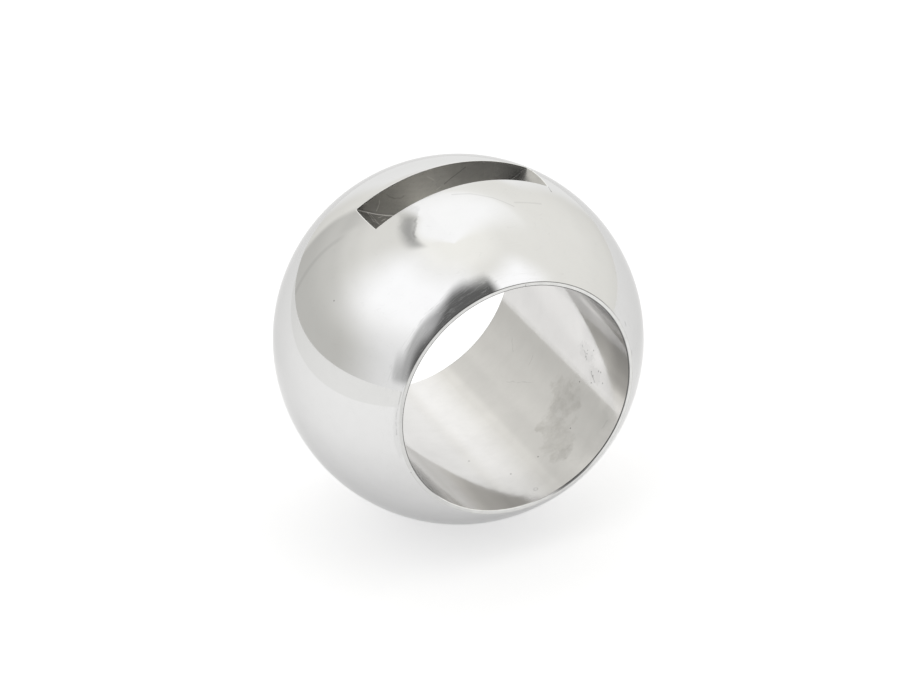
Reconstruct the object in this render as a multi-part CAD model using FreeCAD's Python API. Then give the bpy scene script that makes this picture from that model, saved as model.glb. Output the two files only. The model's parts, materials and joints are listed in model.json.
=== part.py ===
"""Floating valve ball: the closure of a full-bore quarter-turn valve, in millimetres.

One solid steel ball. The through bore lies along Y, the driving slot for the stem is
milled across the top along X, and the origin is the centre of the sphere.
"""
import FreeCAD, Part
import math
import os

Vector = FreeCAD.Vector

# Driving dimensions
ball_diameter = 76.2
bore_diameter = 50.0
port_land_width = 0.9
slot_width = 9.6
slot_cutter_diameter = 76.0
web_over_bore = 2.5

# Edge treatment
mouth_chamfer = 0.3
land_chamfer = 0.15
slot_rim_radius = 0.25
cutter_corner_radius = 0.5

# Worked out from the dimensions above
ball_radius = ball_diameter / 2
bore_radius = bore_diameter / 2
land_radius = bore_radius + port_land_width
land_y = math.sqrt(ball_radius ** 2 - land_radius ** 2)
slot_cutter_radius = slot_cutter_diameter / 2
slot_floor_z = bore_radius + web_over_bore
slot_cutter_z = slot_floor_z + slot_cutter_radius

CENTRE = Vector(0, 0, 0)
BORE_AXIS = Vector(0, 1, 0)


def wall_section():
    """Section of the ring on the side away from the slot: bore, two flat lands, sphere arc."""
    corners = {
        "front_bore": Vector(0, -land_y, -bore_radius),
        "back_bore": Vector(0, land_y, -bore_radius),
        "front_land": Vector(0, -land_y, -land_radius),
        "back_land": Vector(0, land_y, -land_radius),
    }
    sphere_bottom = Vector(0, 0, -ball_radius)
    edges = [
        Part.makeLine(corners["front_bore"], corners["back_bore"]),
        Part.makeLine(corners["back_bore"], corners["back_land"]),
        Part.Arc(corners["back_land"], sphere_bottom, corners["front_land"]).toShape(),
        Part.makeLine(corners["front_land"], corners["front_bore"]),
    ]
    return Part.Face(Part.Wire(edges))


def circle_edges(solid, radius, y):
    """Edges of a solid that are whole circles about the bore axis, of one radius at one y."""
    found = []
    for edge in solid.Edges:
        if not isinstance(edge.Curve, Part.Circle):
            continue
        same_size = math.isclose(edge.Curve.Radius, radius, abs_tol=1e-6)
        same_place = math.isclose(edge.Curve.Center.y, y, abs_tol=1e-6)
        if same_size and same_place:
            found.append(edge)
    return found


def bored_ball():
    """Sphere with its through bore and a narrow flat land round each port, edges broken."""
    ball = wall_section().revolve(CENTRE, BORE_AXIS, 360)
    for y in (-land_y, land_y):
        ball = ball.makeChamfer(mouth_chamfer, circle_edges(ball, bore_radius, y))
        ball = ball.makeChamfer(land_chamfer, circle_edges(ball, land_radius, y))
    return ball


def slot_cutter():
    """Side-milling cutter that sinks the stem slot: a disc on Y with rounded rim corners."""
    base = Vector(0, -slot_width / 2, slot_cutter_z)
    disc = Part.makeCylinder(slot_cutter_radius, slot_width, base, BORE_AXIS)
    rims = []
    for y in (-slot_width / 2, slot_width / 2):
        rims += circle_edges(disc, slot_cutter_radius, y)
    return disc.makeFillet(cutter_corner_radius, rims)


def slot_rim(ball):
    """Edges where the stem slot breaks out through the sphere."""
    rim = []
    for edge in ball.Edges:
        middle = edge.valueAt((edge.FirstParameter + edge.LastParameter) / 2)
        on_sphere = math.isclose(middle.Length, ball_radius, abs_tol=1e-4)
        over_slot = middle.z > slot_floor_z and abs(middle.y) < slot_width / 2 + 1e-4
        if on_sphere and over_slot:
            rim.append(edge)
    return rim


def valve_ball():
    """The finished ball, with the slot's rim rounded all round."""
    slotted = bored_ball().cut(slot_cutter())
    return slotted.makeFillet(slot_rim_radius, slot_rim(slotted)).Solids[0]


def main():
    os.makedirs("parts", exist_ok=True)
    ball = valve_ball()
    ball.exportStep("parts/valve_ball.step")
    print("valid", ball.isValid(), "solids", len(ball.Solids), "faces", len(ball.Faces))
    print("volume", round(ball.Volume, 1), "mm3")
    print("centre of mass", [round(value, 3) for value in ball.CenterOfMass])
    print("lands at y", round(land_y, 3), "slot floor at z", round(slot_floor_z, 3))


main()
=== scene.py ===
"""Floating valve ball: polished sphere, honed through bore and milled stem slot.

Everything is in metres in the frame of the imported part: the origin is the centre of the
sphere, +Y runs along the bore and +Z goes up through the stem slot.
"""
import json
import math
from collections import namedtuple

import bpy
import numpy as np
from mathutils import Matrix, Vector


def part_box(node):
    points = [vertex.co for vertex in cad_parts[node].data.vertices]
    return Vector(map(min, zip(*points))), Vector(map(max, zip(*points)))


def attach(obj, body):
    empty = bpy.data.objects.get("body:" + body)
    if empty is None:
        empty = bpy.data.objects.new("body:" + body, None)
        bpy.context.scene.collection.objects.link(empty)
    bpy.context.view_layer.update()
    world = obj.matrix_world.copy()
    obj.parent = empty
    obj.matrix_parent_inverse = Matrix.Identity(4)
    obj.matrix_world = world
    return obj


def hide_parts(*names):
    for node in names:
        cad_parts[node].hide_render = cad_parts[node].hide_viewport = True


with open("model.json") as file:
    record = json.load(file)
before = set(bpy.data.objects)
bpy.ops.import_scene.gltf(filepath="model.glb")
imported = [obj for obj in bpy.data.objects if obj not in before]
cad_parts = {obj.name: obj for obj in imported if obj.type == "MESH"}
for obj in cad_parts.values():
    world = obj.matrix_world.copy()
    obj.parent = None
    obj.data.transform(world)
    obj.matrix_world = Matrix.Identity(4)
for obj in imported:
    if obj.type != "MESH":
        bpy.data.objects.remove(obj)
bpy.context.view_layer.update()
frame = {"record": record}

MM = 0.001
MOUNTS = {mount["name"]: mount for mount in frame["record"]["mounts"]}

# Sizes that the frame gives
_, NODE_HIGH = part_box("valve_ball")
BALL_R = NODE_HIGH[0]
LAND_Y = NODE_HIGH[1]
BORE_R = MOUNTS["bore"]["dims"]["r_mm"] * MM
SLOT_FLOOR_Z = MOUNTS["stem_slot"]["pos_m"][2]

# Sizes of the slot and its cutter
SLOT_WIDTH = 9.6 * MM
CUTTER_R = 38.0 * MM
CUTTER_CORNER_R = 0.13 * MM
CUTTER_Z = SLOT_FLOOR_Z + CUTTER_R

# Rounding of the edges
MOUTH_EDGE = 0.2 * MM
LAND_EDGE = 0.1 * MM
RIM_EDGE = 0.12 * MM

# Number of cells along each stretch of the mesh
CELLS_FRONT = 56
CELLS_BACK = 248
CELLS_FLANK = 36
CELLS_FLOOR = 14
CELLS_CORNER = 7
CELLS_WALL = 10
CELLS_EDGE = 5
CELLS_LAND = 2
CELLS_BORE = 28

# Points closer together than this become one
WELD_STEP = 1e-7

LAND_R = math.sqrt(BALL_R ** 2 - LAND_Y ** 2)
HALF_SLOT = SLOT_WIDTH / 2
WALL_FOOT_R = CUTTER_R - CUTTER_CORNER_R


# Surface patches. A patch is (points, normals), each an array of rows x columns x 3

def unit(vectors):
    """Vectors divided by their length."""
    return vectors / np.linalg.norm(vectors, axis=-1, keepdims=True)


def crossing(rho, y, sphere_r):
    """Angle about the cutter's axis at which a circle of the cutter meets a sphere.

    A point on the circle is (rho sin a, y, CUTTER_Z - rho cos a). Its distance from the
    origin is sphere_r where cos a = (rho^2 + y^2 + CUTTER_Z^2 - sphere_r^2) / (2 rho CUTTER_Z).
    """
    cosine = (rho ** 2 + y ** 2 + CUTTER_Z ** 2 - sphere_r ** 2) / (2 * rho * CUTTER_Z)
    return np.arccos(np.clip(cosine, -1, 1))


def cutter_rim(grow=0.0):
    """Section of the cutter's rim, from wall to wall: corner arc, straight floor, corner arc.

    Returns radius, y and the outward normal in (radius, y) of each point. grow moves the
    section outwards along its normal.
    """
    quarter = np.linspace(0, np.pi / 2, CELLS_CORNER + 1)
    flat = HALF_SLOT - CUTTER_CORNER_R
    floor_y = np.linspace(-flat, flat, CELLS_FLOOR + 1)[1:-1]
    zeros = np.zeros_like(floor_y)
    along_r = np.concatenate([np.sin(quarter), zeros + 1, np.cos(quarter)])
    along_y = np.concatenate([-np.cos(quarter), zeros, np.sin(quarter)])
    corner_r = (CUTTER_CORNER_R + grow) * along_r
    middle_y = np.concatenate([np.full_like(quarter, -flat), floor_y, np.full_like(quarter, flat)])
    return WALL_FOOT_R + corner_r, middle_y + (CUTTER_CORNER_R + grow) * along_y, along_r, along_y


def swept(rho, y, along_r, along_y, angle):
    """Section of the cutter turned by an angle about its axis, with normals into the cutter."""
    sine, cosine = np.sin(angle), np.cos(angle)
    points = np.stack([rho * sine, y + 0 * sine, CUTTER_Z - rho * cosine], -1)
    return points, np.stack([-along_r * sine, -along_y + 0 * sine, along_r * cosine], -1)


def rolled_edge(start, corner, end, start_normal, end_normal):
    """Rounded edge: each row is the quadratic curve from start to end that the corner pulls.

    The curve is (1-t)^2 start + 2t(1-t) corner + t^2 end, and its normal turns from
    start_normal to end_normal in step with t.
    """
    t = np.linspace(0, 1, CELLS_EDGE + 1)[:, None, None]
    points = (1 - t) ** 2 * start + 2 * t * (1 - t) * corner + t ** 2 * end
    return points, unit((1 - t) * start_normal + t * end_normal)


def rim_loop(sphere_r, grow):
    """Closed loop where the cutter, grown outwards, meets a sphere, with its two normals.

    It runs along the wall at -Y towards +X, across the +X end, back along the wall at +Y
    and across the -X end. Returns points, the cutter side's normals and the sphere's.
    """
    share = np.linspace(-1, 1, CELLS_FRONT + 1)
    wall_y = HALF_SLOT + grow
    reach = crossing(WALL_FOOT_R, wall_y, sphere_r)
    wall_x = WALL_FOOT_R * np.sin(share * reach)
    wall_z = np.sqrt(sphere_r ** 2 - wall_x ** 2 - wall_y ** 2)
    near_wall = np.stack([wall_x, np.full_like(wall_x, -wall_y), wall_z], -1)
    into_slot = np.tile([0.0, 1.0, 0.0], (len(share), 1))

    rho, y, along_r, along_y = cutter_rim(grow)
    end, end_normal = swept(rho, y, along_r, along_y, crossing(rho, y, sphere_r))

    half = np.concatenate([near_wall, end[1:-1]])
    half_normal = np.concatenate([into_slot, end_normal[1:-1]])
    turned = np.array([-1.0, -1.0, 1.0])
    points = np.concatenate([half, half * turned, half[:1]])
    normals = np.concatenate([half_normal, half_normal * turned, half_normal[:1]])
    return points, normals, unit(points)


def slot_rim():
    """The rounded rim of the slot, between the sphere and the slot's walls and floor."""
    outside, _, outside_normal = rim_loop(BALL_R, RIM_EDGE)
    sharp, _, _ = rim_loop(BALL_R, 0.0)
    inside, inside_normal, _ = rim_loop(BALL_R - RIM_EDGE, 0.0)
    return rolled_edge(outside, sharp, inside, outside_normal, inside_normal)


def slot_floor():
    """Floor and corners of the slot: the cutter's rim swept about the cutter's axis."""
    rho, y, along_r, along_y = cutter_rim()
    reach = crossing(rho, y, BALL_R - RIM_EDGE)
    angle = np.linspace(-1, 1, CELLS_FRONT + 1)[:, None] * reach
    return swept(rho, y, along_r, along_y, angle)


def slot_wall(side):
    """One flat wall of the slot: upright columns from the corner arc to the rim.

    Both ends of the wall close to a point, where the arc of the floor meets the sphere.
    """
    sphere_r = BALL_R - RIM_EDGE
    reach = crossing(WALL_FOOT_R, HALF_SLOT, sphere_r)
    angle = np.linspace(-1, 1, CELLS_FRONT + 1) * reach
    x = WALL_FOOT_R * np.sin(angle)
    foot = CUTTER_Z - WALL_FOOT_R * np.cos(angle)
    top = np.sqrt(sphere_r ** 2 - x ** 2 - HALF_SLOT ** 2)
    t = np.linspace(0, 1, CELLS_WALL + 1)[:, None]
    z = foot + t * (top - foot)
    points = np.stack([x + 0 * z, np.full_like(z, side * HALF_SLOT), z], -1)
    normals = np.zeros_like(points)
    normals[..., 1] = -side
    return points, normals


def ring_angles():
    """Angles about the bore, from +Z towards +X, of every column: over the slot, then round."""
    wall_y = HALF_SLOT + RIM_EDGE
    reach = crossing(WALL_FOOT_R, wall_y, BALL_R)
    x = WALL_FOOT_R * np.sin(np.linspace(-1, 1, CELLS_FRONT + 1) * reach)
    over_slot = np.arctan2(x, np.sqrt(BALL_R ** 2 - x ** 2 - wall_y ** 2))
    round_back = np.linspace(over_slot[-1], 2 * np.pi + over_slot[0], CELLS_BACK + 1)
    return np.concatenate([over_slot, round_back[1:]])


def revolved(y, radius, normal_y, normal_r, angles):
    """A section, given as (y, radius) points and normals, turned about the Y axis."""
    sine, cosine = np.sin(angles), np.cos(angles)
    y, radius, normal_y, normal_r = (values[:, None] for values in (y, radius, normal_y, normal_r))
    points = np.stack([radius * sine, y + 0 * sine, radius * cosine], -1)
    normals = np.stack([normal_r * sine, normal_y + 0 * sine, normal_r * cosine], -1)
    return points, normals


def sphere_flank():
    """Sphere from the slot's rim level to the land at -Y, all the way round."""
    first = math.asin((HALF_SLOT + RIM_EDGE) / BALL_R)
    last = math.atan2(*land_edge_start())
    tilt = np.linspace(first, last, CELLS_FLANK + 1)
    y, radius = -np.sin(tilt), np.cos(tilt)
    return revolved(BALL_R * y, BALL_R * radius, y, radius, ring_angles())


def sphere_belt():
    """Sphere beside the slot's ends: rows at the rim's own levels, from end round to end.

    At each level the row starts and stops where the grown cutter meets the sphere.
    """
    rho, y, _, _ = cutter_rim(RIM_EDGE)
    angle = crossing(rho, y, BALL_R)
    start = np.arctan2(rho * np.sin(angle), CUTTER_Z - rho * np.cos(angle))[:, None]
    share = np.linspace(0, 1, CELLS_BACK + 1)
    turn = start + (2 * np.pi - 2 * start) * share
    radius = np.sqrt(BALL_R ** 2 - y ** 2)[:, None]
    points = np.stack([radius * np.sin(turn), y[:, None] + 0 * turn, radius * np.cos(turn)], -1)
    return points, unit(points)


def land_edge_start():
    """Depth along the bore and radius at which the sphere starts to round into the land."""
    tilt = math.atan2(LAND_Y, LAND_R) - LAND_EDGE / BALL_R
    return BALL_R * math.sin(tilt), BALL_R * math.cos(tilt)


def port_patches():
    """Patches at the port at -Y, each with its finish.

    They go from the sphere over a rounded edge to the flat land, and over a second rounded
    edge into the bore.
    """
    depth, radius = land_edge_start()
    on_sphere = np.array([[-depth, radius]])
    outer_corner = np.array([[-LAND_Y, LAND_R]])
    land_outside = np.array([[-LAND_Y, LAND_R - LAND_EDGE]])
    land_inside = np.array([[-LAND_Y, BORE_R + MOUTH_EDGE]])
    inner_corner = np.array([[-LAND_Y, BORE_R]])
    on_bore = np.array([[-LAND_Y + MOUTH_EDGE, BORE_R]])
    facing, inwards = np.array([-1.0, 0.0]), np.array([0.0, -1.0])

    t = np.linspace(0, 1, CELLS_LAND + 1)[:, None]
    land = land_outside + t * (land_inside - land_outside)
    sections = (
        (rolled_edge(on_sphere, outer_corner, land_outside, on_sphere / BALL_R, facing), "rounded_edge"),
        ((land, np.tile(facing, (len(land), 1))), "turned_land"),
        (rolled_edge(land_inside, inner_corner, on_bore, facing, inwards), "rounded_edge"),
    )
    patches = [(sphere_flank(), "polished_sphere")]
    for section, finish in sections:
        y, radius, normal_y, normal_r = np.concatenate([part.reshape(-1, 2) for part in section], 1).T
        patches.append((revolved(y, radius, normal_y, normal_r, ring_angles()), finish))
    return patches


def bore_wall():
    """The straight wall of the bore between its two rounded mouths."""
    reach = LAND_Y - MOUTH_EDGE
    y = np.linspace(-reach, reach, CELLS_BORE + 1)
    flat = np.zeros_like(y)
    return revolved(y, flat + BORE_R, flat, flat - 1, ring_angles())


def mirrored(patch):
    """The same patch on the +Y side, with its rows reversed so that it still faces out."""
    points, normals = patch
    flip = np.array([1.0, -1.0, 1.0])
    return points[::-1] * flip, normals[::-1] * flip


FINISHES = ("polished_sphere", "turned_land", "honed_bore", "milled_slot", "rounded_edge")


def ball_patches():
    """Every patch of the ball with its finish."""
    patches = [
        (sphere_belt(), "polished_sphere"),
        (slot_rim(), "rounded_edge"),
        (slot_floor(), "milled_slot"),
        (slot_wall(-1), "milled_slot"),
        (slot_wall(1), "milled_slot"),
        (bore_wall(), "honed_bore"),
    ]
    for patch, finish in port_patches():
        patches.append((patch, finish))
        patches.append((mirrored(patch), finish))
    return patches


def facing_cells(points, normals):
    """Corner numbers of every cell of a patch, in the order that faces along its normals."""
    rows, columns = points.shape[:2]
    number = np.arange(rows * columns).reshape(rows, columns)
    cells = np.stack([number[:-1, :-1], number[:-1, 1:], number[1:, 1:], number[1:, :-1]], -1)
    cells = cells.reshape(-1, 4)
    flat = points.reshape(-1, 3)
    across = np.cross(flat[cells[:, 2]] - flat[cells[:, 0]], flat[cells[:, 3]] - flat[cells[:, 1]])
    facing = (across * normals.reshape(-1, 3)[cells[:, 0]]).sum(-1).sum()
    return cells if facing > 0 else cells[:, ::-1]


def welded(patches):
    """Patches joined to one closed surface: points, normals, faces and their finishes.

    Points that agree to WELD_STEP become one, and a cell that loses a corner becomes a
    triangle.
    """
    points, normals, cells, finishes, first = [], [], [], [], 0
    for (patch_points, patch_normals), finish in patches:
        patch_cells = facing_cells(patch_points, patch_normals)
        points.append(patch_points.reshape(-1, 3))
        normals.append(patch_normals.reshape(-1, 3))
        cells.append(patch_cells + first)
        finishes.append(np.full(len(patch_cells), FINISHES.index(finish)))
        first += len(points[-1])
    points, normals = np.concatenate(points), np.concatenate(normals)
    grid = np.round(points / WELD_STEP).astype(np.int64)
    _, kept, number = np.unique(grid, axis=0, return_index=True, return_inverse=True)
    cells = number.ravel()[np.concatenate(cells)]
    finishes = np.concatenate(finishes)

    repeated = cells == np.roll(cells, -1, axis=1)
    whole = ~repeated.any(axis=1)
    cut = repeated.sum(axis=1) == 1
    triangles = cells[cut][~repeated[cut]].reshape(-1, 3)
    faces = cells[whole].tolist() + triangles.tolist()
    return points[kept], normals[kept], faces, np.concatenate([finishes[whole], finishes[cut]])


def build_ball(materials):
    """The ball as one mesh object with exact normals, so that its reflections run clean."""
    points, normals, faces, finishes = welded(ball_patches())
    mesh = bpy.data.meshes.new("valve_ball_surface")
    mesh.from_pydata(points, [], faces)
    for name in FINISHES:
        mesh.materials.append(materials[name])
    mesh.polygons.foreach_set("material_index", finishes.astype(np.int32))
    mesh.shade_smooth()
    mesh.normals_split_custom_set_from_vertices(normals)
    mesh.update()
    ball = bpy.data.objects.new("polished_valve_ball", mesh)
    bpy.context.collection.objects.link(ball)
    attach(ball, "root")
    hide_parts("valve_ball")


class Nodes:
    """Short calls that add nodes to one node tree. A value is a number, a tuple or a socket."""

    def __init__(self, tree):
        self.tree = tree

    def add(self, kind, *values, **settings):
        """New node with its settings made and its first inputs filled in."""
        node = self.tree.nodes.new("ShaderNode" + kind)
        for name, setting in settings.items():
            setattr(node, name, setting)
        for socket, value in zip(node.inputs, values):
            self.put(socket, value)
        return node

    def put(self, socket, value):
        if isinstance(value, bpy.types.NodeSocket):
            self.tree.links.new(value, socket)
        else:
            socket.default_value = value

    def math(self, operation, *values, clamp=False):
        return self.add("Math", *values, operation=operation, use_clamp=clamp).outputs[0]

    def plus(self, first, second):
        return self.math("ADD", first, second)

    def minus(self, first, second):
        return self.math("SUBTRACT", first, second)

    def times(self, first, *others):
        """Product of one or more values."""
        for other in others:
            first = self.math("MULTIPLY", first, other)
        return first

    def highest(self, first, *others):
        """Highest of one or more values."""
        for other in others:
            first = self.math("MAXIMUM", first, other)
        return first

    def linear(self, value, slope, offset):
        """Slope times the value, plus the offset."""
        return self.math("MULTIPLY_ADD", value, slope, offset)

    def vector(self, operation, *values):
        """Vector sum, product and the like; for a dot product or a length, the number."""
        outputs = self.add("VectorMath", *values, operation=operation).outputs
        return outputs["Value" if operation in ("DOT_PRODUCT", "LENGTH") else "Vector"]

    def scaled(self, vector, factor):
        node = self.add("VectorMath", vector, operation="SCALE")
        self.put(node.inputs["Scale"], factor)
        return node.outputs["Vector"]

    def split(self, vector):
        """The x, y and z of a vector."""
        return tuple(self.add("SeparateXYZ", vector).outputs)

    def joined(self, *parts):
        """The vector with the given x, y and z."""
        return self.add("CombineXYZ", *parts).outputs[0]

    def length(self, x, y):
        return self.math("SQRT", self.linear(x, x, self.times(y, y)))

    def smooth(self, value, start, end, low=0.0, high=1.0):
        """Smooth rise from low at start to high at end, level outside."""
        values = (value, start, end, low, high)
        return self.add("MapRange", *values, interpolation_type="SMOOTHSTEP").outputs[0]

    def inside(self, value, start, end, soft):
        """1 between start and end, falling to 0 over soft on either side of each."""
        rise = self.smooth(value, start - soft, start + soft)
        fall = self.smooth(value, end - soft, end + soft, 1.0, 0.0)
        return self.times(rise, fall)

    def region(self, axes, limits):
        """Mask of a region, given as limits along named axes.

        Each is (name, start, end) for a smooth rise, or (name, start, end, soft) for a stretch.
        """
        masks = []
        for name, *ends in limits:
            mask = self.inside if len(ends) == 3 else self.smooth
            masks.append(mask(axes[name], *ends))
        return self.times(*masks)

    def ramp(self, value, start, end, levels):
        """Warm grey along a value, through levels given as (value, level) pairs."""
        node = self.add("ValToRGB")
        node.color_ramp.interpolation = "EASE"
        elements = node.color_ramp.elements
        while len(elements) < len(levels):
            elements.new(0.5)
        for element, (place, level) in zip(elements, levels):
            element.position = (place - start) / (end - start)
            element.color = (1.01 * level, level, 0.955 * level, 1)
        self.put(node.inputs[0], self.math("DIVIDE", self.minus(value, start), end - start))
        return node.outputs[0]

    def use(self, tree, **values):
        """One copy of a node group with its named inputs filled in."""
        node = self.add("Group", node_tree=tree)
        for name, value in values.items():
            self.put(node.inputs[name], value)
        return node.outputs

    def noise(self, place, scale, detail=2.0, roughness=0.5, output="Fac"):
        node = self.add("TexNoise")
        for name, value in (("Vector", place), ("Scale", scale), ("Detail", detail),
                            ("Roughness", roughness)):
            self.put(node.inputs[name], value)
        return node.outputs[output]

    def mix(self, factor, first, second, blend="MIX"):
        node = self.add("Mix", data_type="RGBA", blend_type=blend)
        self.put(node.inputs[0], factor)
        self.put(node.inputs[6], first)
        self.put(node.inputs[7], second)
        return node.outputs[2]


WHITE, BLACK = (1, 1, 1, 1), (0, 0, 0, 1)


def new_group(name, vectors, numbers, outputs):
    """Empty node group. Its vector inputs, number inputs and number outputs are given as words."""
    tree = bpy.data.node_groups.new(name, "ShaderNodeTree")
    for labels, way, kind in ((vectors, "INPUT", "NodeSocketVector"),
                              (numbers, "INPUT", "NodeSocketFloat"),
                              (outputs, "OUTPUT", "NodeSocketFloat")):
        for label in labels.split():
            tree.interface.new_socket(label, in_out=way, socket_type=kind)
    nodes = Nodes(tree)
    given = tree.nodes.new("NodeGroupInput").outputs
    result = tree.nodes.new("NodeGroupOutput").inputs
    return tree, nodes, given, result


def drawn_mark():
    """One mark: a line from Start to End, or the ring round it at the distance Hollow."""
    tree, nodes, given, result = new_group("drawn_mark", "Position Start End", "Width Soft Hollow", "Mask")
    along = nodes.vector("SUBTRACT", given["End"], given["Start"])
    from_start = nodes.vector("SUBTRACT", given["Position"], given["Start"])
    squared = nodes.highest(nodes.vector("DOT_PRODUCT", along, along), 1e-6)
    share = nodes.math("DIVIDE", nodes.vector("DOT_PRODUCT", from_start, along), squared, clamp=True)
    away = nodes.vector("LENGTH", nodes.vector("SUBTRACT", from_start, nodes.scaled(along, share)))
    off = nodes.math("ABSOLUTE", nodes.minus(away, given["Hollow"]))
    outside = nodes.plus(given["Width"], given["Soft"])
    nodes.put(result["Mask"], nodes.smooth(off, outside, given["Width"]))
    return tree


def ragged_cloud():
    """One cloud: an ellipsoid round Centre with the half axes Size, torn by a noise."""
    tree, nodes, given, result = new_group("ragged_cloud", "Position Centre Size", "Noise Tear", "Mask")
    offset = nodes.vector("SUBTRACT", given["Position"], given["Centre"])
    away = nodes.vector("LENGTH", nodes.vector("DIVIDE", offset, given["Size"]))
    level = nodes.linear(nodes.minus(given["Noise"], 0.5), given["Tear"], away)
    nodes.put(result["Mask"], nodes.smooth(level, 1.15, 0.7))
    return tree


def broken_hairlines():
    """Fine broken lines where noise passes its middle value. Stretch sets their direction."""
    tree, nodes, given, result = new_group("broken_hairlines", "Position Stretch", "Fineness Share", "Mask")
    noise = nodes.noise(nodes.vector("MULTIPLY", given["Position"], given["Stretch"]), 1.0, 1.0)
    line = nodes.smooth(nodes.math("ABSOLUTE", nodes.minus(noise, 0.5)), given["Fineness"], 0.0)
    patchy = nodes.noise(given["Position"], 0.35, 2.0)
    kept = nodes.minus(0.75, nodes.times(given["Share"], 0.5))
    shown = nodes.smooth(patchy, kept, nodes.plus(kept, 0.08))
    nodes.put(result["Mask"], nodes.times(line, shown))
    return tree


def handled_film():
    """Uneven film left by handling and wiping: a broad tone and a finer, streaky one."""
    tree, nodes, given, result = new_group("handled_film", "Position", "Broad Fine", "Broad Fine")
    broad = nodes.noise(given["Position"], given["Broad"], 3.0)
    fine = nodes.noise(given["Position"], given["Fine"], 6.0, 0.65)
    nodes.put(result["Broad"], nodes.smooth(broad, 0.3, 0.7))
    nodes.put(result["Fine"], nodes.smooth(fine, 0.35, 0.75))
    return tree


def scattered_pits():
    """Round pits on a random lattice: Spacing in mm, Size as a share of it, Share of them kept."""
    tree, nodes, given, result = new_group("scattered_pits", "Position", "Spacing Size Share", "Mask")
    cells = nodes.add("TexVoronoi", given["Position"])
    nodes.put(cells.inputs["Scale"], nodes.math("DIVIDE", 1.0, given["Spacing"]))
    parts = nodes.add("SeparateColor", cells.outputs["Color"])
    kept = nodes.math("LESS_THAN", parts.outputs[0], given["Share"])
    size = nodes.times(given["Size"], nodes.plus(parts.outputs[1], 0.5))
    dot = nodes.smooth(cells.outputs["Distance"], size, nodes.times(size, 0.45))
    nodes.put(result["Mask"], nodes.times(dot, kept))
    return tree


DRAWN_MARK = drawn_mark()
RAGGED_CLOUD = ragged_cloud()
BROKEN_HAIRLINES = broken_hairlines()
HANDLED_FILM = handled_film()
SCATTERED_PITS = scattered_pits()

# Marks and clouds where the photo shows them, in millimetres. A stroke goes through points, and
# one of a single point is a dot, or a ring if it is hollow. Fade is the share of tone that is
# taken away, or added if below 0. Places are (centre, half axes) pairs.
Mark = namedtuple("Mark", "strokes width soft fade rough hollow", defaults=(0.0, 0.0))
Cloud = namedtuple("Cloud", "places grain tear")


class Steel(Nodes):
    """A steel finish under construction: tone, roughness and height, with marks laid on them.

    Positions are the object's own, in millimetres. axes has x, y, z and side, the size of y.
    """

    def __init__(self, name, color, edge_tint, roughness):
        self.material = bpy.data.materials.new(name)
        self.material.use_nodes = True
        super().__init__(self.material.node_tree)
        self.shader = self.tree.nodes["Principled BSDF"]
        self.shader.inputs["Metallic"].default_value = 1
        self.shader.inputs["Specular Tint"].default_value = (edge_tint, edge_tint, edge_tint, 1)
        coordinates = self.add("TexCoord").outputs["Object"]
        self.position = self.scaled(coordinates, 1 / MM)
        self.axes = dict(zip("xyz", self.split(self.position)))
        self.axes["side"] = self.math("ABSOLUTE", self.axes["y"])
        self.color = color
        self.tone = 1.0
        self.roughness = roughness
        self.height = None

    def wobbled(self, amount, scale):
        """Position pushed about by noise, so that drawn marks don't run dead straight."""
        noise = self.noise(self.position, scale, output="Color")
        push = self.vector("SUBTRACT", noise, (0.5, 0.5, 0.5))
        return self.vector("ADD", self.position, self.scaled(push, amount))

    def film(self, broad, fine):
        """The two masks of the handling film, for the sizes of its two noises."""
        return self.use(HANDLED_FILM, Position=self.position, Broad=broad, Fine=fine).values()

    def hairlines(self, stretch, fineness, share):
        return self.use(BROKEN_HAIRLINES, Position=self.position, Stretch=stretch,
                        Fineness=fineness, Share=share)["Mask"]

    def pits(self, spacing, size, share):
        return self.use(SCATTERED_PITS, Position=self.position, Spacing=spacing,
                        Size=size, Share=share)["Mask"]

    def tooling(self, stretch, detail):
        """Noise drawn out along the lines that a tool leaves."""
        return self.noise(self.vector("MULTIPLY", self.position, stretch), 1.0, detail)

    def cloud(self, position, cloud):
        """Mask of a cloud, whose places share one tearing noise."""
        noise = self.noise(position, cloud.grain, 5.0, 0.62)
        return self.highest(*(
            self.use(RAGGED_CLOUD, Position=position, Centre=centre, Size=size, Noise=noise,
                     Tear=cloud.tear)["Mask"]
            for centre, size in cloud.places))

    def lay(self, mask, fade=0.0, rough=0.0, lift=0.0):
        """Lay a mask on the steel: fade its tone, add roughness, lift its height."""
        if fade:
            self.tone = self.times(self.tone, self.linear(mask, -fade, 1.0))
        if rough:
            self.roughness = self.linear(mask, rough, self.roughness)
        if lift:
            self.height = self.linear(mask, lift, 0.0 if self.height is None else self.height)

    def lay_painted_light_and_shade(self, tones):
        """Lay painted light and shade as local tones, given by name as (fade, limits along the axes)."""
        for fade, limits in tones.values():
            self.lay(self.region(self.axes, limits), fade=fade)

    def lay_marks(self, position, marks):
        """Draw the named marks at a position that may be wobbled."""
        for mark in marks.values():
            masks = []
            for points in mark.strokes:
                for start, end in zip(points, points[1:] or points):
                    masks.append(self.use(
                        DRAWN_MARK, Position=position, Start=start, End=end, Width=mark.width,
                        Soft=mark.soft, Hollow=mark.hollow)["Mask"])
            self.lay(self.highest(*masks), fade=mark.fade, rough=mark.rough)

    def finished(self, tint_mask=None, tint=WHITE):
        """Close the material: heights are in micrometres."""
        color = self.mix(self.tone, BLACK, self.color)
        if tint_mask is not None:
            color = self.mix(tint_mask, color, tint, "MULTIPLY")
        self.put(self.shader.inputs["Base Color"], color)
        self.put(self.shader.inputs["Roughness"], self.roughness)
        if self.height is not None:
            bump = self.add("Bump")
            bump.inputs["Strength"].default_value = 1
            bump.inputs["Distance"].default_value = 1e-6
            self.put(bump.inputs["Height"], self.height)
            self.put(self.shader.inputs["Normal"], bump.outputs["Normal"])
        return self.material


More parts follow.
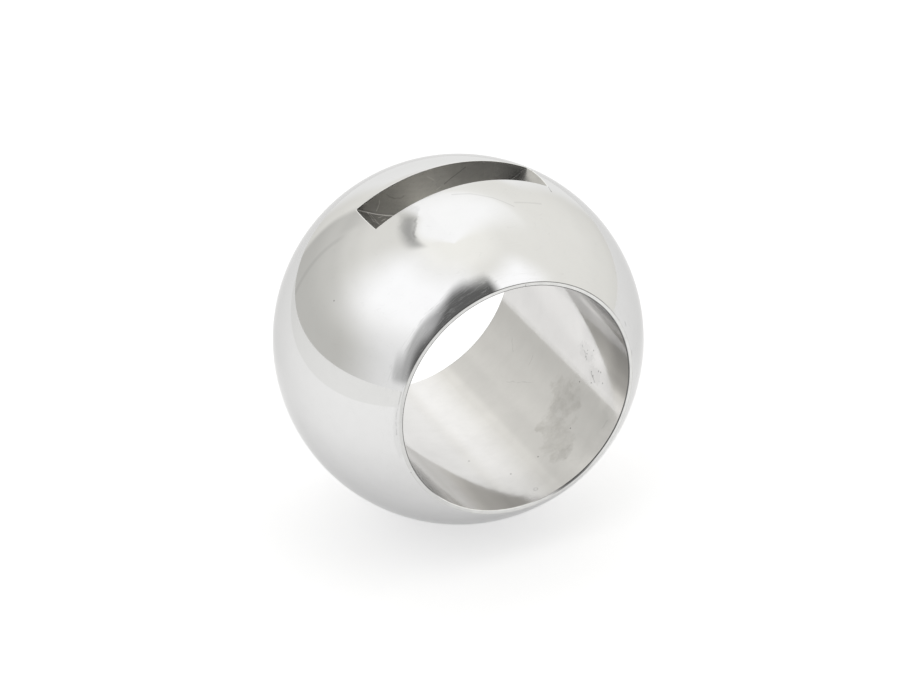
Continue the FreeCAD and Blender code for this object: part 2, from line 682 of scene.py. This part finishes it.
SMOKE = Cloud([((-13.4, -10.8, 33.9), (2.3, 4.6, 2.4))], grain=0.6, tear=0.9)
HAZE = Cloud([((-12.4, -6.6, 35.4), (2.4, 2.6, 2))], grain=0.6, tear=0.5)
RUB = Cloud([((-25.9, -27.5, -0.5), (1.1, 1, 6.5))], grain=0.7, tear=0.9)

# The smoke ends at x = SMOKE_END_X + SMOKE_END_SLOPE (y - SMOKE_END_Y)
SMOKE_END_X, SMOKE_END_Y, SMOKE_END_SLOPE = -10.7, -7.4, 0.66

CRINKLED_SPHERE_MARKS = {
    "smoke edge": Mark([
        [(-11.7, -8.9, 35.2), (-12.5, -9.7, 34.7), (-13.4, -10.8, 34), (-13.9, -11.9, 33.4),
         (-14, -12.8, 33)]], 0.08, 0.35, fade=0.2),
}
STRAIGHT_SPHERE_MARKS = {
    "long crease": Mark([
        [(-3.1, -7, 37.3), (0.3, -8.2, 37.2), (4.3, -10.6, 36.3), (7.4, -13.3, 34.9)]],
        0.05, 0.2, fade=0.12),
    "short crease": Mark([[(8.2, -12.3, 35.1), (13.9, -12.2, 33.3)]], 0.08, 0.3, fade=0.09),
    "dots": Mark([[(-30.4, -8.7, 21.3)], [(18.9, -6.6, 32.4)], [(23, -27.9, 11.9)]],
                 0.1, 0.14, fade=0.5, rough=0.1),
}
UNEVEN_SPHERE_MARKS = {
    "slot scratch": Mark([[(19.2, -4.9, 32.6), (18.8, -7, 32.4)]], 0.05, 0.1, fade=0.4, rough=0.1),
    "rim ticks": Mark([[(25.8, -27.8, 4), (25.7, -28, 2.4)],
                       [(24.9, -26.9, 10.5), (25, -27.1, 9.7)]], 0.05, 0.12, fade=0.35),
    "rub line": Mark([[(-24.9, -27.6, 8.5), (-26.1, -27.4, 3.5), (-26.3, -27.5, -1)]],
                     0.05, 0.15, fade=0.2),
}


def polished_sphere():
    """Mirror polish with a handling film, wiping streaks round the ports and small marks."""
    steel = Steel("polished_sphere", (0.733, 0.733, 0.732, 1), edge_tint=0.82, roughness=0.042)
    broad, fine = steel.film(0.045, 0.35)
    steel.lay(broad, fade=0.02, rough=0.01, lift=3.0)
    steel.lay(fine, fade=0.012, rough=0.008)

    near_port = steel.smooth(steel.axes["side"], 23.0, 25.5)
    streaks = steel.hairlines((0.16, 2.6, 0.16), fineness=0.045, share=0.85)
    steel.lay(steel.times(streaks, near_port), fade=0.01, rough=0.13)
    steel.lay(steel.times(steel.tooling((0.06, 2.0, 0.06), 2.0), near_port), lift=0.9)
    steel.lay(steel.hairlines((0.1, 0.5, 0.9), fineness=0.012, share=0.5), fade=0.03, rough=0.03)

    drawn, crinkled = steel.wobbled(0.35, 0.9), steel.wobbled(1.3, 0.8)
    crinkled_x, crinkled_y, _ = steel.split(crinkled)
    smoke_end = steel.linear(steel.minus(crinkled_y, SMOKE_END_Y), SMOKE_END_SLOPE, SMOKE_END_X)
    before_end = steel.smooth(steel.minus(crinkled_x, smoke_end), 0.25, -0.1)
    steel.lay(steel.times(steel.cloud(drawn, SMOKE), before_end), fade=0.15, rough=0.05)
    steel.lay(steel.times(steel.cloud(drawn, HAZE), before_end), fade=0.11)
    steel.lay(steel.cloud(drawn, RUB), fade=0.06, rough=0.1)
    steel.lay_marks(crinkled, CRINKLED_SPHERE_MARKS)
    steel.lay_marks(steel.position, STRAIGHT_SPHERE_MARKS)
    steel.lay_marks(drawn, UNEVEN_SPHERE_MARKS)
    steel.lay(steel.pits(11.0, size=0.014, share=0.5), fade=0.3)
    return steel.finished()


# Painted shade on the land: its left side darker, and a painted shadow on its inner rim at the lower right
LAND_PAINTED_SHADE = {
    "shaded left side": (0.1, (("x", -5, -18),)),
    "dark burr at the lower right": (0.78, (
        ("radius", BORE_R / MM + 0.6, BORE_R / MM + 0.3), ("z", -14, -18), ("x", 7.5, 16, 2))),
}


def turned_land():
    """Narrow land, faced on a lathe: fine rings about the bore and a few nicks."""
    steel = Steel("turned_land", (0.745, 0.745, 0.735, 1), edge_tint=1.0, roughness=0.12)
    steel.axes["radius"] = steel.length(steel.axes["x"], steel.axes["z"])
    broad, fine = steel.film(0.1, 0.6)
    steel.lay(broad, fade=0.06)
    steel.lay(fine, fade=0.08, rough=0.08)
    # Painted shade on the left side and by the bore at the lower right
    steel.lay_painted_light_and_shade(LAND_PAINTED_SHADE)
    steel.lay(steel.noise(steel.axes["radius"], 9.0, 2.0), fade=0.05, lift=0.6)
    steel.lay(steel.pits(2.2, size=0.12, share=0.25), fade=0.35, rough=0.2)
    return steel.finished()


# Painted light and shade from light bouncing in the bore: darker at the right mouth and along the bottom,
# lighter in the two wedges. A fade below 0 lightens.
BORE_PAINTED_LIGHT_AND_SHADE = {
    "dark mouth at the right": (0.3, (("x", 18, 23), ("z", -5, 6, 3), ("y", -17, -24))),
    "strip above it": (0.08, (("z", 2.4, 4), ("z", 7.5, 6), ("y", -14, -10))),
    "top of the right wedge": (-0.26, (("z", 6.8, 12, 0.8), ("x", 15, 18), ("y", -7, -11))),
    "middle of the right wedge": (-0.06, (("z", 6, 11, 1), ("y", -11, -13.5), ("x", 15, 18))),
    "beside the right wedge": (0.07, (("z", -3, 1, 1.5), ("x", 18, 21), ("y", -14, -7, 2))),
    "left wedge": (-0.27, (("x", -12, -15.5), ("z", -12, -16))),
    "middle of the left wedge": (-0.05, (("x", -16, -10.5, 1.5), ("z", -18, -20))),
    "bottom": (0.07, (("z", -19, -23), ("y", 6, -4))),
    "bottom by the mouth": (0.16, (("z", -21, -24), ("y", -10, -24))),
    "middle of the right side": (-0.035, (("z", -18, -9.5, 2.5), ("x", 12, 17), ("y", -24, -20))),
    "end of the bright band": (0.11, (("z", -9.2, -4, 1.2), ("x", 18, 21), ("y", -15, -24))),
    "under the bright band": (-0.05, (("z", -13.5, -9.4, 1.2), ("x", 18, 21), ("y", -22, -14, 2))),
}
STAIN = Cloud([((19.8, -8.9, -15.4), (3.2, 6.4, 4.8)), ((15.5, -11.5, -19.6), (3.6, 5, 2.8)),
               ((14.2, -17.2, -20.7), (4.2, 4.4, 3))], grain=0.24, tear=2.3)
BLOOM = Cloud([((19, -17, -16.4), (7.5, 10, 7.5))], grain=0.17, tear=1.2)
PIT_CLUSTERS = Cloud([((24.4, -9.6, -4.9), (1.6, 3.4, 2)), ((23.7, -14.6, -7.7), (1.4, 2.6, 1.9)),
                      ((13.8, -20, -20.7), (2.2, 1.8, 1.7))], grain=1.3, tear=1.6)
CRAWLING_BORE_MARKS = {
    "crawl lines": Mark([
        [(24.5, -7.4, -4.4), (24.4, -9, -5.2), (24.2, -10.2, -6.2)],
        [(23.7, -13.1, -8), (23.5, -14.4, -8.5), (23.3, -15.6, -8.8)]], 0.06, 0.16, fade=0.34),
}
STRAIGHT_BORE_MARKS = {
    "single pits": Mark([
        [(24.8, -12.4, -3.3)], [(24.3, -9.7, -6)], [(24.4, -9.9, -5.2)], [(22.4, -10.3, -11.1)],
        [(23.8, -18.3, -7.8)], [(23.7, -14.1, -8.1)], [(23.8, -13.1, -7.7)], [(24.2, -16.6, -6.2)],
        [(23.1, -14.3, -9.5)], [(24.2, -15.7, -6.4)], [(17.4, -15.8, -18)], [(-15.1, -12.7, -19.9)],
        [(-1.9, -7.1, -24.9)], [(3.4, -16.1, -24.8)], [(10, -15.4, -22.9)]], 0.09, 0.15, fade=0.6),
    "small ring": Mark([[(5.1, -24.3, -24.5)]], 0.04, 0.14, fade=0.2, hollow=0.42),
}
UNEVEN_BORE_MARKS = {
    "long hair": Mark([[(15.2, 11, -19.8), (16.4, 8, -18.9), (18.3, 3.6, -17.1)]],
                      0.05, 0.16, fade=0.08),
    "short hairs": Mark([
        [(19.9, -24, -15.1), (21.5, -24.6, -12.8)], [(19.3, 15.3, -15.9), (20.5, 18.2, -14.3)],
        [(19.6, 8.1, -15.6), (20.8, 8.7, -13.8)]], 0.05, 0.2, fade=0.08),
}
STAIN_TINT = (1.0, 0.99, 0.965, 1)

# The renderer ends a ray after four bounces, which would leave grazing views of the bore black,
# so the bore glows for rays beyond this depth
DEEPEST_BOUNCE = 3.5
DEEP_BOUNCE_GLOW = 0.4


def honed_bore():
    """Honed bore: soft clouds, water stains, pits and hairlines where the photo shows them."""
    steel = Steel("honed_bore", (0.982, 0.971, 0.96, 1), edge_tint=0.8, roughness=0.08)
    steel.tone = 0.768
    broad, fine = steel.film(0.07, 0.3)
    steel.lay(broad, fade=0.03, rough=0.02, lift=12.0)
    steel.lay(fine, fade=0.03, rough=0.03)
    steel.lay(steel.tooling((0.1, 2.5, 0.1), 3.0), fade=0.02, lift=0.5)
    # Painted light and shade where light bounces in the bore
    steel.lay_painted_light_and_shade(BORE_PAINTED_LIGHT_AND_SHADE)

    drawn = steel.wobbled(0.9, 0.7)
    mottle = steel.smooth(steel.noise(drawn, 0.55, 7.0, 0.72), 0.3, 0.72, 0.25, 1.0)
    stain = steel.times(steel.cloud(drawn, STAIN), mottle)
    steel.lay(stain, fade=0.18, rough=0.05)
    steel.lay(steel.cloud(drawn, BLOOM), fade=0.085)
    clusters = steel.cloud(drawn, PIT_CLUSTERS)
    steel.lay(clusters, fade=0.08)
    steel.lay(steel.times(steel.pits(0.9, size=0.17, share=0.4), clusters), fade=0.5)
    steel.lay(steel.pits(7.0, size=0.016, share=0.5), fade=0.35)
    steel.lay_marks(steel.wobbled(0.8, 1.2), CRAWLING_BORE_MARKS)
    steel.lay_marks(steel.position, STRAIGHT_BORE_MARKS)
    steel.lay_marks(drawn, UNEVEN_BORE_MARKS)

    depth = steel.add("LightPath").outputs["Ray Depth"]
    deep = steel.math("GREATER_THAN", depth, DEEPEST_BOUNCE)
    steel.put(steel.shader.inputs["Emission Strength"], steel.times(deep, DEEP_BOUNCE_GLOW))
    steel.shader.inputs["Emission Color"].default_value = WHITE
    return steel.finished(steel.times(stain, 0.6), STAIN_TINT)


# Limits of the slot's floor and of its corners between floor and walls
ON_FLOOR = ("side", HALF_SLOT / MM - 0.02, HALF_SLOT / MM - 0.2)
IN_CORNER = (("side", HALF_SLOT / MM - 0.45, HALF_SLOT / MM - 0.2),
             ("cutter radius", CUTTER_R / MM - 0.7, CUTTER_R / MM - 0.3))

# Painted shade along the slot, deepest in its right half, on its floor and in its corners, and painted
# light at its very right end
SLOT_PAINTED_LIGHT_AND_SHADE = {
    "right half": (0.33, (("x", -2, 10),)),
    "right end": (0.2, (("x", 9, 16.5),)),
    "right lip": (0.08, (("x", 15, 16.5),)),
    "very end at the right": (-0.38, (("x", 17.3, 18.2),)),
    "left half": (0.22, (("x", -2, -11),)),
    "left end": (0.12, (("x", -11, -18),)),
    "left lip": (0.22, (("x", -16.2, -18),)),
    "floor at the left": (0.22, (ON_FLOOR, ("x", -2, -8))),
    "floor at the left end": (0.18, (ON_FLOOR, ("x", -14, -17))),
    "corners at the right": (0.2, (*IN_CORNER, ("x", 9, 13))),
    "corners at the left": (0.12, (*IN_CORNER, ("x", -6, -12))),
}
SLOT_MARKS = {
    "dark scratch": Mark([[(5.4, 4.8, 36.2), (3.2, 4.8, 35), (0.6, 4.8, 33.5)]],
                         0.06, 0.16, fade=0.3),
    "dark arc": Mark([
        [(-12.2, 4.8, 34.3), (-11.5, 4.8, 33.6), (-10.5, 4.8, 33), (-9.2, 4.8, 32.7),
         (-8.5, 4.8, 33)]], 0.05, 0.2, fade=0.2),
    "bright scratch": Mark([[(-3.2, 4.8, 36.1), (-1.8, 4.8, 35)]], 0.05, 0.14, fade=-0.5),
    "bright ticks": Mark([
        [(-13.9, 4.8, 33.4), (-13.9, 4.8, 32.6), (-14.2, 4.8, 31.9), (-14.6, 4.8, 31.2)],
        [(-1.2, 4.8, 32.6), (-0.3, 4.8, 33)]], 0.04, 0.14, fade=-0.5),
    "floor scratches": Mark([
        [(-18.1, 2, 32.1), (-16.3, -1.4, 31.2)], [(-16.3, 4, 31.2), (-16.6, -1, 31.3)],
        [(-15.1, 1.3, 30.6), (-13.5, 2.9, 30)], [(-17.4, 0.7, 31.7), (-13.5, 4.3, 30)],
        [(-16.6, 4.6, 31.3), (-17.4, -0.3, 31.7)]], 0.04, 0.12, fade=-1.3),
}


def milled_slot():
    """Slot as the cutter left it: fine arcs about the cutter's axis, a mottled film, painted shade and
    light along the slot and in its corners, and bright scratches.
    """
    steel = Steel("milled_slot", (0.945, 0.935, 0.909, 1), edge_tint=0.9, roughness=0.27)
    x, y, z = (steel.axes[name] for name in "xyz")
    cutter_r = steel.length(x, steel.minus(z, CUTTER_Z / MM))
    steel.axes["cutter radius"] = cutter_r

    on_floor = steel.region(steel.axes, (ON_FLOOR,))
    arcs = steel.joined(steel.times(cutter_r, 1.5), steel.times(x, on_floor, 1.4),
                        steel.linear(y, 0.15, steel.times(x, 0.04)))
    steel.lay(steel.noise(arcs, 1.0, 3.0, 0.6), fade=0.12, rough=0.06, lift=1.2)
    broad, fine = steel.film(0.12, 0.5)
    steel.lay(broad, fade=0.08)
    steel.lay(fine, fade=0.1, rough=0.08)
    # Painted shade and light along the slot
    steel.lay_painted_light_and_shade(SLOT_PAINTED_LIGHT_AND_SHADE)
    # Painted shade, with more roughness, in the corners between floor and walls over the right part of the
    # slot
    steel.lay(steel.region(steel.axes, (*IN_CORNER, ("x", -6, 4))), fade=0.3, rough=0.3)
    steel.lay(steel.hairlines((0.5, 0.9, 1.3), fineness=0.02, share=0.8), fade=0.1)
    steel.lay_marks(steel.wobbled(0.5, 0.5), SLOT_MARKS)
    return steel.finished()


AT_PORT = ("side", 15, 20)
BORE_SIDE = ("radius", BORE_R / MM + 0.5, BORE_R / MM + 0.3)
SPHERE_SIDE = ("radius", BORE_R / MM + 0.3, BORE_R / MM + 0.5)


def rounded_edge():
    """Broken edges: painted shade on the edges of the ports, a dark line inside them at the bottom and a
    darker outer edge at the upper right, lighter round the slot, with small nicks.
    """
    steel = Steel("rounded_edge", (0.82, 0.82, 0.81, 1), edge_tint=0.9, roughness=0.1)
    x, z = steel.axes["x"], steel.axes["z"]
    steel.axes["radius"] = steel.length(x, z)
    inner = steel.region(steel.axes, (AT_PORT, BORE_SIDE))
    outer = steel.region(steel.axes, (AT_PORT, SPHERE_SIDE))
    low = steel.smooth(steel.linear(x, 0.25, z), -23, -20)
    upper_right = steel.times(steel.smooth(steel.linear(x, 0.5, z), -10, 10),
                              steel.smooth(steel.linear(x, -0.3, z), 3, 14))
    # Painted shade: a dark line on the inner edge at the bottom of the ports, the outer edge darker all
    # round and darker still at the upper right
    steel.lay(steel.times(inner, low), fade=0.78, rough=0.1)
    steel.lay(outer, fade=0.2)
    steel.lay(steel.times(outer, upper_right), fade=0.55)
    steel.lay(steel.pits(1.6, size=0.16, share=0.35), fade=0.3, rough=0.2)
    _, fine = steel.film(0.15, 0.8)
    steel.lay(fine, fade=0.12)
    return steel.finished()


materials = {}
for finish in (polished_sphere, turned_land, honed_bore, milled_slot, rounded_edge):
    materials[finish.__name__] = finish()
build_ball(materials)


# Floor, in metres: a sheet on a table, which the camera sees as plain white away from the ball
FLOOR_RADIUS = 0.56
FLOOR_RINGS, FLOOR_SPOKES = 24, 96
SHEET_EDGE_X, SHEET_EDGE_SOFT = -0.165, 0.002
SHEET_COLOR, TABLE_COLOR = (0.64, 0.64, 0.645, 1), (0.55, 0.55, 0.545, 1)
PLAIN_WHITE_FROM, PLAIN_WHITE_TO = 0.085, 0.1
LEFT_PANEL_X, LEFT_PANEL_Y = -0.574, -0.819


def floor_disc():
    """Round floor under the ball: rings at radius t^2 FLOOR_RADIUS, at the sphere's lowest level."""
    t = np.linspace(0, 1, FLOOR_RINGS + 1)[1:, None]
    turn = np.linspace(0, 2 * np.pi, FLOOR_SPOKES, endpoint=False)
    x, y = FLOOR_RADIUS * t ** 2 * np.cos(turn), FLOOR_RADIUS * t ** 2 * np.sin(turn)
    rings = np.stack([x, y, np.full_like(x, -BALL_R)], -1).reshape(-1, 3)
    points = np.concatenate([rings, [[0, 0, -BALL_R]]])
    number = np.arange(FLOOR_RINGS * FLOOR_SPOKES).reshape(FLOOR_RINGS, FLOOR_SPOKES)
    after = np.roll(number, -1, axis=1)
    quads = np.stack([number[:-1], number[1:], after[1:], after[:-1]], -1).reshape(-1, 4)
    middle = np.stack([number[0], after[0], np.full(FLOOR_SPOKES, len(rings))], -1)
    mesh = bpy.data.meshes.new("studio_floor")
    mesh.from_pydata(points, [], quads.tolist() + middle.tolist())
    mesh.update()
    return mesh


def floor_material():
    """White sheet on a darker table, each with a glow that the ball's reflections show.

    The camera sees both white, with the ball's soft shadow on them.
    """
    material = bpy.data.materials.new("white_sheet_on_table")
    material.use_nodes = True
    nodes = Nodes(material.node_tree)
    shader = material.node_tree.nodes["Principled BSDF"]
    shader.inputs["Roughness"].default_value = 0.8
    shader.inputs["Specular IOR Level"].default_value = 0
    path = nodes.add("LightPath").outputs
    x, y, _ = nodes.split(nodes.add("TexCoord").outputs["Object"])
    radius = nodes.length(x, y)

    table = nodes.smooth(x, SHEET_EDGE_X + SHEET_EDGE_SOFT, SHEET_EDGE_X - SHEET_EDGE_SOFT)
    color = nodes.mix(table, SHEET_COLOR, TABLE_COLOR)
    away = nodes.smooth(radius, PLAIN_WHITE_FROM, PLAIN_WHITE_TO)
    plain_white = nodes.times(path["Is Camera Ray"], away)
    nodes.put(shader.inputs["Base Color"], nodes.mix(plain_white, color, BLACK))

    # Painted light: the glow that reflections show is brighter towards the left panel and close behind the
    # ball
    toward_panel = nodes.linear(x, LEFT_PANEL_X, nodes.times(y, LEFT_PANEL_Y))
    side = nodes.math("DIVIDE", toward_panel, nodes.highest(radius, 0.001))
    by_side = nodes.smooth(side, -0.75, 0.6, 0.38, 0.48)
    lit = nodes.linear(nodes.smooth(radius, 0.03, 0.08), nodes.minus(by_side, 0.39), 0.39)
    close_behind = nodes.times(nodes.smooth(side, 0.1, -0.5, 0.0, 0.13), nodes.smooth(radius, 0.11, 0.06))
    glossy_glow = nodes.times(path["Is Glossy Ray"], nodes.plus(lit, close_behind))
    camera_glow = nodes.plus(nodes.times(path["Is Camera Ray"], 0.5), nodes.times(plain_white, 0.6))
    shader.inputs["Emission Color"].default_value = WHITE
    nodes.put(shader.inputs["Emission Strength"], nodes.plus(camera_glow, glossy_glow))
    return material


def build_floor():
    mesh = floor_disc()
    mesh.materials.append(floor_material())
    floor = bpy.data.objects.new("studio_floor", mesh)
    bpy.context.collection.objects.link(floor)


build_floor()


# Studio, by azimuth and elevation in degrees. Walls are (elevation, level) pairs, and panels,
# in the order they are laid, are a color, a share and one or more regions.
LEFT_WALL = ((-10, 0.66), (2, 0.66), (20, 0.75), (32, 0.86), (44, 0.94), (62, 0.95), (78, 1.15),
             (90, 1.16))
RIGHT_WALL = ((-10, 0.92), (4, 0.97), (20, 1.01), (40, 1.02), (62, 1.03), (78, 1.14), (90, 1.16))
PANELS = {
    "glow at the back": ((1.26, 1.26, 1.25, 1), 1.0, [
        (("azimuth", 152, 176, 9), ("elevation", 24, 39, 9))]),
    "grey line above it": ((0.72, 0.72, 0.715, 1), 0.7, [
        (("azimuth", 160, 172), ("elevation", 42, 48, 3)),
        (("azimuth", -160, -174), ("elevation", 42, 48, 3))]),
    "low part of the back": ((1.14, 1.14, 1.13, 1), 1.0, [
        (("azimuth", 133, 158, 5), ("elevation", 31, 23)),
        (("azimuth", 133, 176, 5), ("elevation", 20, 14))]),
    "left panel": ((1.32, 1.32, 1.33, 1), 1.0, [
        (("azimuth", -114, 0, 24), ("elevation", 24, 70, 16))]),
    "right panel": ((1.33, 1.33, 1.34, 1), 1.0, [
        (("azimuth", 14, 60, 12), ("elevation", 35, 60, 8))]),
}
BACK_PANEL_COLOR, ABOVE_STREAK_COLOR = (1.28, 1.28, 1.28, 1), (1.26, 1.26, 1.26, 1)
STREAK_COLOR, CARD_COLOR, SEAM_COLOR = (0.3, 0.3, 0.3, 1), (0.1, 0.1, 0.098, 1), (0.2, 0.2, 0.2, 1)

# The dark streak runs along elevation = STREAK_SLOPE azimuth + STREAK_BASE
STREAK_SLOPE, STREAK_BASE = 0.28, 105.2
SEAM_AZIMUTH = -156


def lit_walls(nodes, axes):
    """Walls and ceiling, with the lit corner at the low left and the panels on them."""
    azimuth, elevation = axes["azimuth"], axes["elevation"]
    left_wall = nodes.ramp(elevation, -10, 90, LEFT_WALL)
    right_wall = nodes.ramp(elevation, -10, 90, RIGHT_WALL)
    on_right = nodes.highest(nodes.smooth(azimuth, -170, -175), nodes.smooth(azimuth, -20, 60))
    light = nodes.mix(on_right, left_wall, right_wall)
    low_left = nodes.region(axes, (("azimuth", -84, 0, 22), ("elevation", 40, 15)))
    light = nodes.mix(low_left, light, WHITE)

    at_back = nodes.highest(nodes.smooth(azimuth, 88, 132), nodes.smooth(azimuth, -166, -176))
    rise = nodes.plus(nodes.smooth(elevation, 36, 62, 0.0, 0.6), nodes.smooth(elevation, 45, 50, 0.0, 0.4))
    light = nodes.mix(nodes.times(at_back, rise), light, BACK_PANEL_COLOR)
    for color, share, regions in PANELS.values():
        mask = nodes.highest(*(nodes.region(axes, limits) for limits in regions))
        light = nodes.mix(nodes.times(mask, share), light, color)
    return light


def with_streak(nodes, azimuth, elevation, light):
    """The light with a dark streak high on the left, and the bright panel above it."""
    over_streak = nodes.minus(elevation, nodes.linear(azimuth, STREAK_SLOPE, STREAK_BASE))
    above = nodes.times(nodes.smooth(over_streak, 0, 9), nodes.smooth(azimuth, -118, -150))
    light = nodes.mix(above, light, ABOVE_STREAK_COLOR)
    off_streak = nodes.highest(nodes.times(over_streak, 1.6), nodes.times(over_streak, -0.9))
    streak = nodes.times(nodes.smooth(off_streak, 0.5, 8, 1.0, 0.0),
                         nodes.inside(azimuth, -166, -118, 9), 0.62)
    return nodes.mix(streak, light, STREAK_COLOR)


def dark_card(nodes, azimuth, elevation, faced):
    """Mask of the dark card in front, whose curved edge is a level of faced at each azimuth."""
    edge = nodes.plus(nodes.smooth(azimuth, -65.5, -57, 0.345, 0.43),
                      nodes.smooth(azimuth, -44, -26, 0.0, -0.07))
    edge = nodes.plus(edge, nodes.smooth(azimuth, -18, -6, 0.0, 0.02))
    into_card = nodes.minus(faced, edge)
    softness = nodes.smooth(azimuth, -56, -26, 0.045, 0.15)
    card = nodes.smooth(nodes.math("DIVIDE", into_card, softness), 0, 1)
    shallow = nodes.plus(nodes.smooth(azimuth, -52, -26, 0.54, 0.93),
                         nodes.smooth(azimuth, -10, 4, 0.0, -0.1))
    deep_shift = nodes.smooth(azimuth, -55, -40, 0.05, -0.015)
    deep = nodes.smooth(nodes.plus(into_card, deep_shift), 0.115, 0.17)
    depth = nodes.linear(deep, nodes.minus(0.96, shallow), shallow)
    return nodes.times(card, depth, nodes.smooth(azimuth, 25, 12), nodes.smooth(elevation, -3.5, 3.0))


def studio_world():
    """Pale studio seen by direction: walls, ceiling, soft panels, a dark streak and a dark card.

    Azimuth is 0 towards -Y and grows towards +X. A strength of 1 is white, which is what the
    camera itself sees.
    """
    world = bpy.data.worlds.new("soft_studio")
    bpy.context.scene.world = world
    world.use_nodes = True
    world.cycles.sampling_method = "NONE"
    nodes = Nodes(world.node_tree)
    x, y, z = nodes.split(nodes.add("TexCoord").outputs["Generated"])
    toward_front = nodes.times(y, -1)
    azimuth = nodes.math("DEGREES", nodes.math("ARCTAN2", x, toward_front))
    elevation = nodes.math("DEGREES", nodes.math("ARCSINE", z))
    axes = {"azimuth": azimuth, "elevation": elevation}

    light = lit_walls(nodes, axes)
    light = with_streak(nodes, azimuth, elevation, light)
    card = dark_card(nodes, azimuth, elevation, nodes.linear(x, 0.07, toward_front))
    light = nodes.mix(card, light, CARD_COLOR)
    off_seam = nodes.math("ABSOLUTE", nodes.minus(azimuth, SEAM_AZIMUTH))
    seam = nodes.times(nodes.smooth(off_seam, 0.5, 2.2, 0.14, 0.0), nodes.smooth(elevation, 27, 20))
    light = nodes.mix(seam, light, SEAM_COLOR)
    past_seam = nodes.times(nodes.smooth(azimuth, SEAM_AZIMUTH, SEAM_AZIMUTH - 6, 0.0, 0.13),
                            nodes.inside(elevation, 20, 34, 7))
    light = nodes.mix(past_seam, light, SEAM_COLOR)
    seen = nodes.add("LightPath").outputs["Is Camera Ray"]
    nodes.put(world.node_tree.nodes["Background"].inputs["Color"], nodes.mix(seen, light, WHITE))


studio_world()


# Camera at the photograph's angle
PHOTO_WIDTH = 920
FOCAL_PIXELS = 3948.2
CAMERA_DISTANCE = 21.2814 * BALL_R
BALL_AZIMUTH, BALL_ELEVATION = -23.7721, 29.3324
LOOK_AZIMUTH, LOOK_ELEVATION, LOOK_ROLL = -23.7961, 29.4187, -2.4464


def direction(azimuth, elevation):
    """Unit vector from the ball to a viewer: azimuth 0 is -Y, positive turns towards +X."""
    a, e = math.radians(azimuth), math.radians(elevation)
    return Vector((math.sin(a) * math.cos(e), -math.cos(a) * math.cos(e), math.sin(e)))


def photo_camera():
    """Camera that sees the ball as the photograph does."""
    data = bpy.data.cameras.new("photo_camera")
    data.sensor_width = 36
    data.lens = FOCAL_PIXELS * data.sensor_width / PHOTO_WIDTH
    data.clip_start, data.clip_end = 0.01, 20
    camera = bpy.data.objects.new("photo_camera", data)
    bpy.context.collection.objects.link(camera)
    back = direction(LOOK_AZIMUTH, LOOK_ELEVATION)
    level = direction(LOOK_AZIMUTH + 90, 0)
    roll = math.radians(LOOK_ROLL)
    right = level * math.cos(roll) + back.cross(level) * math.sin(roll)
    axes = Matrix((right, back.cross(right), back)).transposed()
    place = CAMERA_DISTANCE * direction(BALL_AZIMUTH, BALL_ELEVATION)
    camera.matrix_world = Matrix.Translation(place) @ axes.to_4x4()
    bpy.context.scene.camera = camera


photo_camera()


bpy.context.scene.view_settings.view_transform = "Standard"
